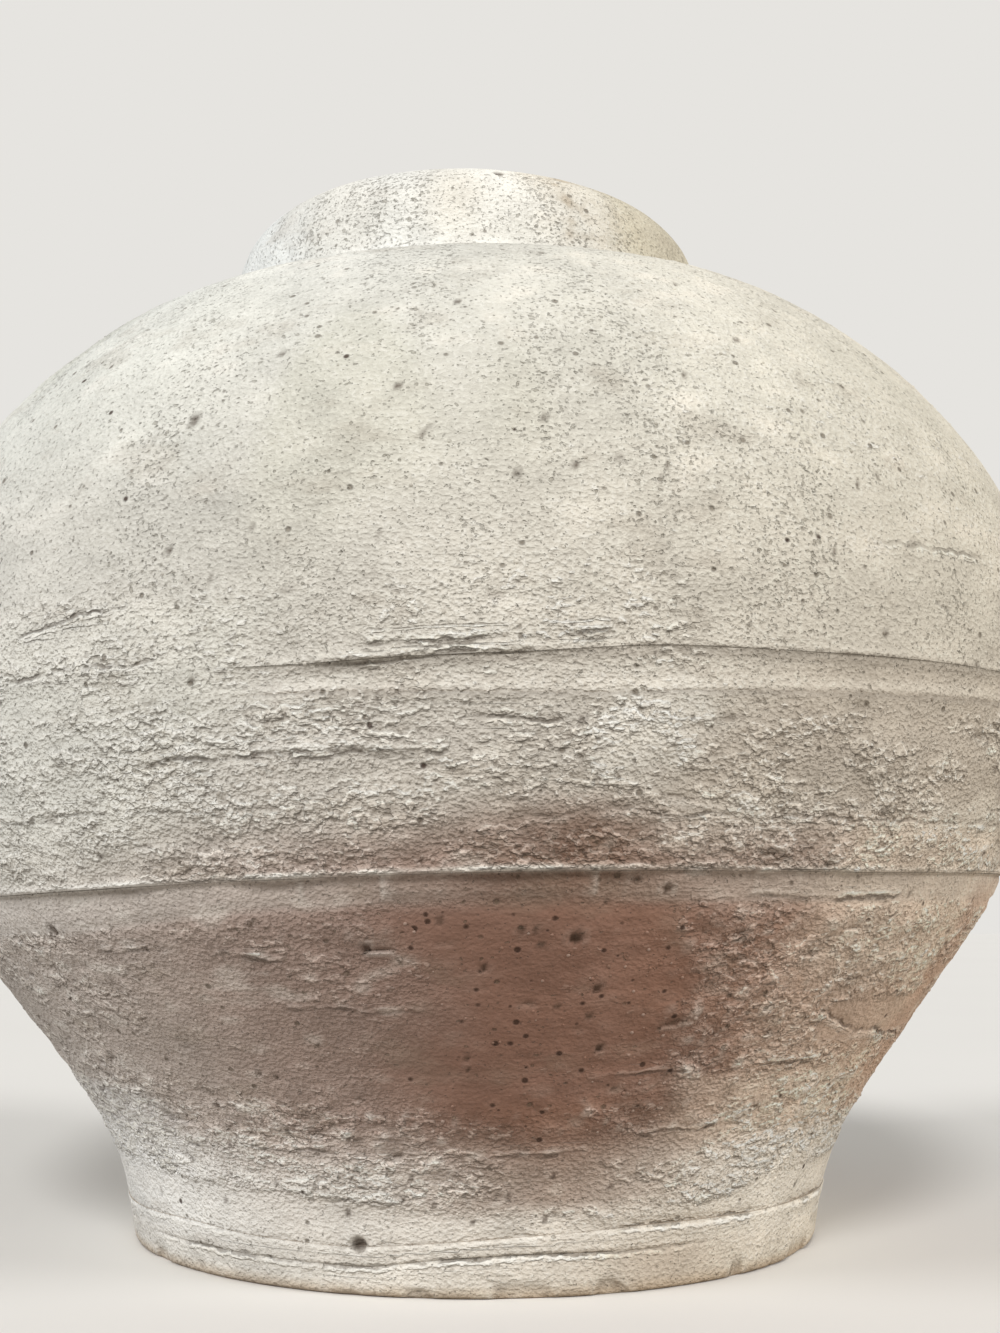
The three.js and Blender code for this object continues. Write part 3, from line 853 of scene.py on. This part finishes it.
def shell(name, rows, poles=None):
    """One closed mesh from its rows. They meet first to last, or else end in the two poles."""
    count = len(rows)
    points = np.concatenate([row.points for row in rows])
    corners = np.arange(count * COLUMNS).reshape(count, COLUMNS)
    after = np.roll(corners, -1, axis=1)
    lower = np.arange(count if poles is None else count - 1)
    upper = (lower + 1) % count
    quads = np.stack([corners[lower], after[lower], after[upper], corners[upper]], -1).reshape(-1, 4)
    skins = np.array([row.skin for row in rows])
    skin = np.repeat(np.maximum(skins[lower], skins[upper]), COLUMNS)
    loops, sizes = quads.ravel(), np.full(len(quads), 4)
    if poles is not None:
        low_pole, high_pole = np.full(COLUMNS, len(points)), np.full(COLUMNS, len(points) + 1)
        points = np.concatenate([points, poles])
        fans = np.concatenate([
            np.stack([low_pole, after[0], corners[0]], -1), np.stack([high_pole, corners[-1], after[-1]], -1),
        ])
        loops, sizes = np.concatenate([loops, fans.ravel()]), np.concatenate([sizes, np.full(len(fans), 3)])
        skin = np.concatenate([skin, np.repeat(skins[[0, -1]], COLUMNS)])
    mesh = bpy.data.meshes.new(name)
    mesh.vertices.add(len(points))
    mesh.vertices.foreach_set("co", points.ravel())
    mesh.loops.add(len(loops))
    mesh.loops.foreach_set("vertex_index", loops)
    mesh.polygons.add(len(sizes))
    mesh.polygons.foreach_set("loop_start", np.concatenate([[0], np.cumsum(sizes)[:-1]]))
    mesh.polygons.foreach_set("material_index", skin)
    mesh.update(calc_edges=True)
    mesh.validate()
    mesh.shade_smooth()
    mesh.set_sharp_from_angle(angle=math.radians(50.0))
    return mesh


def paint(mesh, rows, poles=0):
    """Stores the painted colour, the grit and the pitting at every point of a shell."""
    inside = np.broadcast_to(linear(INSIDE_CLAY), (COLUMNS, 3))
    tones = [inside if row.reach is None else sheet_value(TONE, TURNS, row.reach) for row in rows]
    tones = np.concatenate([*tones, inside[:poles]])
    colours = np.concatenate([np.clip(tones, 0.0, 1.0), np.ones((len(tones), 1))], -1)
    mesh.attributes.new("tone", "FLOAT_COLOR", "POINT").data.foreach_set("color", colours.ravel())
    sheets = [
        ("grit", GRIT, 0.2), ("pitted", PITTED, 0.1), ("bare", PATCH, 0.0), ("mark", MARK, MARK_REACH),
        ("marked", MARKED, 0.0),
    ]
    for name, sheet, plain in sheets:
        hidden = np.full(COLUMNS, plain)
        values = [hidden if row.reach is None else sheet_value(sheet, TURNS, row.reach) for row in rows]
        values = np.concatenate([*values, hidden[:poles]])
        mesh.attributes.new(name, "FLOAT", "POINT").data.foreach_set("value", values)


# Materials

# unglazed stoneware scatters light in its open pores, so it has under half the gloss of a sealed surface
DRY_GLOSS = 0.22

# the crumbs' size in millimetres, and how much higher a crumb is looked up again to find its upper edge,
# which gets a painted highlight, and the painted shadow under it
CRUMB_SIZES = (4.8, 4.8, 2.7)
CREST_RISE = (0.0, 0.0, 0.8 * MM)
PALER = "paler"


def node(tree, kind, inputs=None, **settings):
    """Adds a node with its settings. Each input takes a value, or the output that feeds it."""
    made = tree.nodes.new(kind)
    for name, value in settings.items():
        setattr(made, name, value)
    for key, value in (inputs or {}).items():
        if isinstance(value, bpy.types.NodeSocket):
            tree.links.new(value, made.inputs[key])
        else:
            made.inputs[key].default_value = value
    return made


def product(tree, *factors):
    """The factors multiplied together.

    A factor written as (value, low, high) is a soft step of that value from 0 to 1, and one with two
    numbers more is a soft step from the first of them to the second.
    """
    made = None
    for factor in factors:
        if isinstance(factor, tuple):
            value, low, high, start, end = (*factor, 0.0, 1.0)[:5]
            inputs = {"Value": value, "From Min": low, "From Max": high, "To Min": start, "To Max": end}
            stepped = node(tree, "ShaderNodeMapRange", inputs, interpolation_type="SMOOTHSTEP")
            factor = stepped.outputs["Result"]
        if made is not None:
            factor = node(tree, "ShaderNodeMath", {0: made, 1: factor}, operation="MULTIPLY").outputs[0]
        made = factor
    return made


def total(tree, *terms):
    """The terms added up. A term written as a tuple is the product of what is in it."""
    made = None
    for term in terms:
        if isinstance(term, tuple):
            term = product(tree, *term)
        if made is not None:
            term = node(tree, "ShaderNodeMath", {0: made, 1: term}, operation="ADD").outputs[0]
        made = term
    return made


def paler(tree, colour):
    """A much paler colour of the same kind."""
    inputs = {0: colour, 1: (1.3, 1.3, 1.3), 2: (0.10, 0.105, 0.10)}
    strong = node(tree, "ShaderNodeVectorMath", inputs, operation="MULTIPLY_ADD").outputs[0]
    inputs = {0: strong, 1: (0.88, 0.86, 0.80)}
    return node(tree, "ShaderNodeVectorMath", inputs, operation="MINIMUM").outputs[0]


def layered(tree, colour, *layers):
    """The colour with each layer laid over it in turn, as (colour, share)."""
    for text, share in layers:
        over = paler(tree, colour) if text == PALER else (*linear(text), 1.0)
        colour = node(tree, "ShaderNodeMix", {0: share, 6: colour, 7: over}, data_type="RGBA").outputs[2]
    return colour


def grained(tree, place, sizes, detail=2.0, roughness=0.5):
    """Soft random grain, with lumps of these sizes in millimetres."""
    scale = tuple(1.0 / (size * MM) for size in sizes)
    near = node(tree, "ShaderNodeVectorMath", {0: place, 1: scale}, operation="MULTIPLY").outputs[0]
    inputs = {"Vector": near, "Scale": 1.0, "Detail": detail, "Roughness": roughness}
    return node(tree, "ShaderNodeTexNoise", inputs).outputs["Fac"]


def spots(tree, place, cell, chance, small, large):
    """Round spots in some cells of this size in millimetres, of radii between two shares of a cell."""
    cells = node(tree, "ShaderNodeTexVoronoi", {"Vector": place, "Scale": 1.0 / (cell * MM)}).outputs
    draws = node(tree, "ShaderNodeSeparateColor", {0: cells["Color"]}).outputs
    radius = product(tree, (draws[1], 0.0, 1.0, small, large))
    past = node(tree, "ShaderNodeMath", {0: cells["Distance"], 1: radius}, operation="SUBTRACT").outputs[0]
    chosen = node(tree, "ShaderNodeMath", {0: draws[0], 1: chance}, operation="LESS_THAN").outputs[0]
    return product(tree, (past, -0.06, 0.08, 1.0, 0.0), chosen)


def clay(name, roughness):
    """A new dry, dull material with its surface shader and its places on the jar."""
    material = bpy.data.materials.new(name)
    material.use_nodes = True
    tree = material.node_tree
    shader = tree.nodes["Principled BSDF"]
    shader.inputs["Roughness"].default_value = roughness
    shader.inputs["Specular IOR Level"].default_value = DRY_GLOSS
    place = node(tree, "ShaderNodeTexCoord").outputs["Object"]
    return material, tree, shader, place


def surface(tree, shader, colour, height=None):
    """Gives the shader its colour, and bumps it by a height in millimetres."""
    tree.links.new(colour, shader.inputs["Base Color"])
    if height is not None:
        bump = node(tree, "ShaderNodeBump", {"Strength": 1.0, "Distance": MM, "Height": height})
        tree.links.new(bump.outputs["Normal"], shader.inputs["Normal"])


def wall_clay():
    """Bare stoneware thrown with coarse sand: dry and dull, with no highlight anywhere.

    Where it is gritty it is crumbed, and each crumb is paler along its upper edge and darker under
    it: a painted highlight and a painted shadow, as if lit from above. It has torn marks with a
    painted highlight on the lip and painted shade in the groove, round pits, pores in streaks, and iron spots
    where it is bare.
    """
    material, tree, shader, place = clay("bare gritty stoneware", 0.93)
    painted = ("grit", "pitted", "bare", "mark", "marked")
    grit, pitted, bare, mark, marked = [
        node(tree, "ShaderNodeAttribute", attribute_name=name).outputs["Fac"] for name in painted
    ]
    tone = node(tree, "ShaderNodeAttribute", attribute_name="tone").outputs["Color"]

    # the real sand is about 0.5 mm, and is drawn as coarse as it needs to show
    sand = grained(tree, place, (1.5, 1.5, 1.2), 1.0)
    lumps = grained(tree, place, CRUMB_SIZES, 2.0, 0.6)
    clumps = grained(tree, place, (26.0, 26.0, 12.0))
    unsmoothed = product(tree, (bare, 0.0, 1.0, 1.0, 0.3))
    rough = product(tree, (grit, 0.0, 1.0, 0.1, 1.0), unsmoothed, (clumps, 0.40, 0.58, 0.35, 1.0))
    firm = product(tree, (rough, 0.0, 0.5, 0.1, 1.0))
    torn = product(tree, (total(tree, (grit, 0.4), clumps), 0.70, 0.95), unsmoothed)
    flakes = product(tree, (grained(tree, place, (8.5, 8.5, 4.4), 2.0, 0.6), 0.5, 0.53), torn)
    rarer = product(tree, (rough, 0.0, 0.8, -0.22, 0.01))
    crumbs = product(tree, (total(tree, lumps, rarer), 0.49, 0.56))
    above = node(tree, "ShaderNodeVectorMath", {0: place, 1: CREST_RISE}, operation="ADD").outputs[0]
    lumps_above = grained(tree, above, CRUMB_SIZES, 2.0, 0.6)
    crumbs_above = product(tree, (total(tree, lumps_above, rarer), 0.49, 0.56))
    crumb_light_and_shade = node(tree, "ShaderNodeMath", {0: crumbs, 1: crumbs_above}, operation="SUBTRACT").outputs[0]

    holes = spots(tree, place, 5.5, product(tree, (clumps, 0.35, 0.65, 0.05, 0.5)), 0.06, 0.16)
    iron = spots(tree, place, 5.0, product(tree, (bare, 0.0, 1.0, 0.015, 0.5)), 0.06, 0.19)
    scarcity = total(tree, (pitted, 0.09), -0.09)
    pores = product(tree, (total(tree, grained(tree, place, (1.9, 1.9, 1.7), 1.0), scarcity), 0.64, 0.70))
    pinholes = product(tree, (total(tree, grained(tree, place, (1.2, 1.2, 1.1), 1.0), scarcity), 0.61, 0.69))

    whole = product(tree, marked, (grained(tree, place, (8.0, 8.0, 30.0)), 0.40, 0.50, 0.35, 1.0))
    line = total(tree, mark, (total(tree, lumps, -0.5), 3.6))
    off_line = node(tree, "ShaderNodeMath", {0: line}, operation="ABSOLUTE").outputs[0]
    groove = product(tree, (off_line, 0.85, 0.2), whole)
    off_lip = node(tree, "ShaderNodeMath", {0: total(tree, line, 1.4)}, operation="ABSOLUTE").outputs[0]
    lip = product(tree, (off_lip, 1.0, 0.25), whole)

    colour = layered(
        tree, tone,
        ("8f8170", product(tree, (clumps, 0.55, 0.72), 0.22)),
        (PALER, product(tree, crumbs, 0.15)),
        # a painted highlight along each crumb's upper edge, and a painted shadow under it
        (PALER, product(tree, (crumb_light_and_shade, 0.0, 0.7), total(tree, (firm, 0.6), (torn, 0.5)))),
        ("54473b", product(tree, (crumb_light_and_shade, 0.0, -0.7, 0.0, 0.32), firm)),
        (PALER, product(tree, (sand, 0.52, 0.66, 0.0, 0.25), unsmoothed)),
        ("64574a", product(tree, (sand, 0.48, 0.34), (rough, 0.0, 1.0, 0.08, 0.34))),
        (PALER, product(tree, flakes, 0.4)),
        # a painted highlight on the lip of each mark, and painted shade in its groove or under its standing
        # edge
        (PALER, product(tree, lip, 0.85)),
        ("4e4136", product(tree, groove, 0.6)),
        ("5c4f3f", product(tree, holes, 0.65)),
        ("6b6250", product(tree, pores, 0.40)),
        ("5f584c", product(tree, pinholes, 0.36)),
        ("3f2c22", product(tree, iron, 0.9)),
    )
    height = total(
        tree,
        (sand, (grit, 0.0, 1.0, 0.9, 1.7), unsmoothed),
        (lumps, total(tree, (rough, 1.3), 0.3)),
        (crumbs, total(tree, (firm, 0.25), (torn, 0.2))),
        (flakes, 0.6), (lip, 0.6), (groove, -0.5),
        (holes, -0.6), (pores, -0.45), (pinholes, -0.3), (iron, -0.4),
    )
    surface(tree, shader, colour, height)
    return material


def inside_clay():
    """The inside, never smoothed: duller clay, darker in broad patches and flecked with paler sand."""
    material, tree, shader, place = clay("thrown inside of the jar", 0.95)
    sand = grained(tree, place, (1.4, 1.4, 1.2), 3.0, 0.6)
    coarse = grained(tree, place, (30.0, 30.0, 12.0))
    colour = layered(
        tree, (*linear(INSIDE_CLAY), 1.0),
        ("8f8172", product(tree, (coarse, 0.4, 0.7, 0.0, 0.6))),
        ("cfc4b4", product(tree, (sand, 0.5, 0.7, 0.0, 0.35))),
    )
    surface(tree, shader, colour, product(tree, sand, 0.5))
    return material


def underside_clay():
    """The foot's underside: sand stuck to it in the kiln, and rubbed paler in broad patches."""
    material, tree, shader, place = clay("rubbed and sanded foot", 0.9)
    sand = grained(tree, place, (1.1, 1.1, 1.1), 2.0, 0.6)
    rubbed = grained(tree, place, (45.0, 45.0, 45.0))
    colour = layered(
        tree, (*linear("b8977a"), 1.0),
        ("cdbda8", product(tree, (rubbed, 0.4, 0.62))),
        ("7b6552", product(tree, (sand, 0.46, 0.32, 0.0, 0.5))),
    )
    surface(tree, shader, colour, product(tree, sand, 0.4))
    return material


def grain_clay():
    """Grog grains that stand proud of the wall: of its own colour, some paler and some greyer."""
    material, tree, shader, place = clay("grog grains", 0.95)
    tone = node(tree, "ShaderNodeAttribute", attribute_name="tone").outputs["Color"]
    kind = grained(tree, place, (4.0, 4.0, 4.0), 1.0)
    colour = layered(
        tree, tone,
        ("e9e3d8", product(tree, (kind, 0.5, 0.64, 0.0, 0.15))),
        ("6a5d50", product(tree, (kind, 0.5, 0.38, 0.0, 0.35))),
    )
    surface(tree, shader, colour)
    return material


def seen_rays(tree):
    """1 for the rays that show the background: the camera's own, mirrored ones and those seen through."""
    rays = node(tree, "ShaderNodeLightPath").outputs
    seen = rays["Is Camera Ray"]
    for name in ("Is Glossy Ray", "Is Transmission Ray"):
        seen = node(tree, "ShaderNodeMath", {0: seen, 1: rays[name]}, operation="MAXIMUM").outputs[0]
    return seen


def floor_paper():
    """Matt studio paper: pale to the camera, and throwing little light back up at the jar."""
    material, tree, shader, place = clay("matt studio paper", 0.9)
    shade = grained(tree, place, (400.0, 400.0, 400.0))
    unseen = product(tree, (seen_rays(tree), 0.0, 1.0, 1.0, 0.0))
    surface(tree, shader, layered(tree, (*linear("e8e6e2"), 1.0), ("e3e1dd", shade), ("bfbbb5", unseen)))
    return material


# Grog grains, scattered where the wall is gritty

GRAINS_PER_SQUARE_METRE = 36000.0
SMALLEST_GRAIN, LARGEST_GRAIN = 0.3 * MM, 0.75 * MM
GRAIN_FLATNESS = 0.55
GRAIN_SEED = 7


def grain_tree():
    """Grains on the faces of a mesh, by its grit, half sunk and lying flat."""
    tree = bpy.data.node_groups.new("grog grains", "GeometryNodeTree")
    sockets = [
        ("Geometry", "NodeSocketGeometry"), ("Density", "NodeSocketFloat"), ("Smallest", "NodeSocketFloat"),
        ("Largest", "NodeSocketFloat"), ("Seed", "NodeSocketInt"), ("Clay", "NodeSocketMaterial"),
    ]
    for name, kind in sockets:
        tree.interface.new_socket(name, in_out="INPUT", socket_type=kind)
    tree.interface.new_socket("Geometry", in_out="OUTPUT", socket_type="NodeSocketGeometry")
    given = node(tree, "NodeGroupInput").outputs
    named = node(tree, "GeometryNodeInputNamedAttribute", {"Name": "grit"}, data_type="FLOAT")
    grit = named.outputs["Attribute"]
    gathered = node(tree, "ShaderNodeMath", {0: grit, 1: 1.5}, operation="POWER").outputs[0]
    density = product(tree, gathered, given["Density"])
    inputs = {"Mesh": given["Geometry"], "Density": density, "Seed": given["Seed"]}
    scatter = node(tree, "GeometryNodeDistributePointsOnFaces", inputs, distribute_method="RANDOM")
    ball = node(tree, "GeometryNodeMeshIcoSphere", {"Radius": 1.0, "Subdivisions": 1})
    inputs = {2: given["Smallest"], 3: given["Largest"], 8: given["Seed"]}
    size = node(tree, "FunctionNodeRandomValue", inputs, data_type="FLOAT").outputs[1]
    scale = node(tree, "ShaderNodeCombineXYZ", {0: size, 1: size, 2: product(tree, size, GRAIN_FLATNESS)})
    placed = node(tree, "GeometryNodeInstanceOnPoints", {
        "Points": scatter.outputs["Points"], "Instance": ball.outputs["Mesh"],
        "Rotation": scatter.outputs["Rotation"], "Scale": scale.outputs[0],
    })
    real = node(tree, "GeometryNodeRealizeInstances", {"Geometry": placed.outputs[0]})
    finished = node(tree, "GeometryNodeSetMaterial", {"Geometry": real.outputs[0], "Material": given["Clay"]})
    node(tree, "NodeGroupOutput", {"Geometry": finished.outputs[0]})
    return tree


def ground_mesh(sections):
    """Every second point of the outside, to scatter the grains on."""
    points, quads, grits, tones, base = [], [], [], [], 0
    for rows in sections:
        outer = [row for row in rows if row.reach is not None][::2]
        grid = np.stack([row.points[::2] for row in outer])
        corners = base + np.arange(grid.shape[0] * grid.shape[1]).reshape(grid.shape[:2])
        after = np.roll(corners, -1, axis=1)
        quads.append(np.stack([corners[:-1], after[:-1], after[1:], corners[1:]], -1).reshape(-1, 4))
        points.append(grid.reshape(-1, 3))
        grits.append(np.concatenate([sheet_value(GRIT, TURNS[::2], row.reach[::2]) for row in outer]))
        tones.append(np.concatenate([sheet_value(TONE, TURNS[::2], row.reach[::2]) for row in outer]))
        base += len(points[-1])
    mesh = bpy.data.meshes.new("grain ground")
    mesh.from_pydata(np.concatenate(points).tolist(), [], np.concatenate(quads).tolist())
    mesh.attributes.new("grit", "FLOAT", "POINT").data.foreach_set("value", np.concatenate(grits))
    tones = np.clip(np.concatenate(tones), 0.0, 1.0)
    colours = np.concatenate([tones, np.ones((len(tones), 1))], -1)
    mesh.attributes.new("tone", "FLOAT_COLOR", "POINT").data.foreach_set("color", colours.ravel())
    return mesh


def scatter_grains(sections, material):
    """The grains as one plain mesh."""
    ground = add_object("grain ground", ground_mesh(sections))
    tree = grain_tree()
    modifier = ground.modifiers.new("grains", "NODES")
    modifier.node_group = tree
    values = {
        "Density": GRAINS_PER_SQUARE_METRE, "Smallest": SMALLEST_GRAIN, "Largest": LARGEST_GRAIN,
        "Seed": GRAIN_SEED, "Clay": material,
    }
    for item in tree.interface.items_tree:
        if item.in_out == "INPUT" and item.name in values:
            modifier[item.identifier] = values[item.name]
    bpy.context.view_layer.update()
    evaluated = ground.evaluated_get(bpy.context.evaluated_depsgraph_get())
    mesh = bpy.data.meshes.new_from_object(evaluated)
    bpy.data.objects.remove(ground)
    mesh.name = "grog_grains"
    mesh.shade_smooth()
    return add_object("grog_grains", mesh)


# The jar

def add_object(name, mesh):
    made = bpy.data.objects.new(name, mesh)
    bpy.context.scene.collection.objects.link(made)
    return made


def build_jar():
    """Every section of the jar, each in place of its construction solid."""
    skins = [wall_clay(), inside_clay(), underside_clay()]
    sections = {
        "base_slab": slab_rows(),
        "foot_coil": wall_section(SLAB_TOP, COIL_TOP, COIL_STEP, swollen_coil, grooved=False),
        "lower_wall": wall_section(COIL_TOP, BELLY_SEAM, LOWER_STEP, under_the_lip),
        "belly_wall": wall_section(BELLY_SEAM, BAND_LOW, BELLY_STEP, rolled_edge),
        "luting_band": wall_section(BAND_LOW, BAND_HIGH, BAND_STEP, coved_band),
        "shoulder_dome": shoulder_rows(),
        "neck_collar": collar_rows(),
    }
    for name, rows in sections.items():
        poles = None
        if name == "base_slab":
            poles = np.array([[0.0, 0.0, 0.0], [0.0, 0.0, SLAB_TOP * MM]])
        mesh = shell(name + "_clay", rows, poles)
        paint(mesh, rows, 0 if poles is None else 2)
        for skin in skins:
            mesh.materials.append(skin)
        section = add_object(name + "_clay", mesh)
        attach(section, "root")
        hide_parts(name)
    gritty = [rows for name, rows in sections.items() if name not in ("base_slab", "neck_collar")]
    grains = scatter_grains(gritty, grain_clay())
    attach(grains, "root")


# The studio

BACKDROP = "e6e4e0"
FLOOR_RADIUS = 6.0
SKY_LIGHT = 0.42
KEY_LIGHT = 1.35
KEY_LIFT, KEY_SIDE, KEY_SOFTNESS = 40.0, -6.0, 12.0
FILL_LIGHT = 1.35
FILL_LIFT, FILL_SIDE, FILL_SOFTNESS = 27.0, 64.0, 20.0


def add_floor():
    turns = np.radians(np.arange(128) * 360.0 / 128)
    rim = [(FLOOR_RADIUS * math.cos(turn), FLOOR_RADIUS * math.sin(turn), 0.0) for turn in turns]
    mesh = bpy.data.meshes.new("studio floor")
    mesh.from_pydata(rim, [], [list(range(128))])
    mesh.materials.append(floor_paper())
    add_object("studio_floor", mesh)


def add_world():
    """A pale sky: the camera sees it as the backdrop, and it lights the jar more softly."""
    world = bpy.data.worlds.new("studio sky")
    bpy.context.scene.world = world
    world.use_nodes = True
    tree = world.node_tree
    sky = tree.nodes["Background"]
    sky.inputs["Color"].default_value = (*linear(BACKDROP), 1.0)
    tree.links.new(product(tree, (seen_rays(tree), 0.0, 1.0, SKY_LIGHT, 1.0)), sky.inputs["Strength"])


def add_lamp(name, strength, lift, side, softness):
    """A soft lamp far off, in front of the jar, raised by one angle and turned to its right by another."""
    lamp = bpy.data.lights.new(name, "SUN")
    lamp.energy = strength
    lamp.angle = math.radians(softness)
    made = bpy.data.objects.new(name, lamp)
    made.rotation_euler = (math.radians(90.0 - lift), 0.0, math.radians(side))
    bpy.context.scene.collection.objects.link(made)


def add_camera():
    """The photographer's place, a little above the middle of the jar and looking slightly up."""
    forward = np.array([
        math.sin(CAMERA_YAW) * math.cos(CAMERA_PITCH), math.cos(CAMERA_YAW) * math.cos(CAMERA_PITCH),
        math.sin(CAMERA_PITCH),
    ])
    right = np.cross(forward, [0.0, 0.0, 1.0])
    right /= np.linalg.norm(right)
    above = np.cross(right, forward)
    level, lean = math.cos(CAMERA_ROLL), math.sin(CAMERA_ROLL)
    right, above = level * right + lean * above, level * above - lean * right
    lens = bpy.data.cameras.new("camera")
    lens.sensor_fit = "AUTO"
    lens.sensor_width = SENSOR
    lens.lens = SENSOR * FOCAL_PIXELS / PHOTO_HEIGHT
    camera = bpy.data.objects.new("camera", lens)
    place = Matrix(np.stack([right, above, -forward], -1).tolist()).to_4x4()
    place.translation = (0.0, -CAMERA_BACK, CAMERA_UP)
    camera.matrix_world = place
    bpy.context.scene.collection.objects.link(camera)
    bpy.context.scene.camera = camera


build_jar()
add_floor()
add_world()
add_lamp("key_light", KEY_LIGHT, KEY_LIFT, KEY_SIDE, KEY_SOFTNESS)
add_lamp("left_fill", FILL_LIGHT, FILL_LIFT, -FILL_SIDE, FILL_SOFTNESS)
add_lamp("right_fill", FILL_LIGHT, FILL_LIFT, FILL_SIDE, FILL_SOFTNESS)
add_camera()
bpy.context.scene.view_settings.view_transform = "Standard"
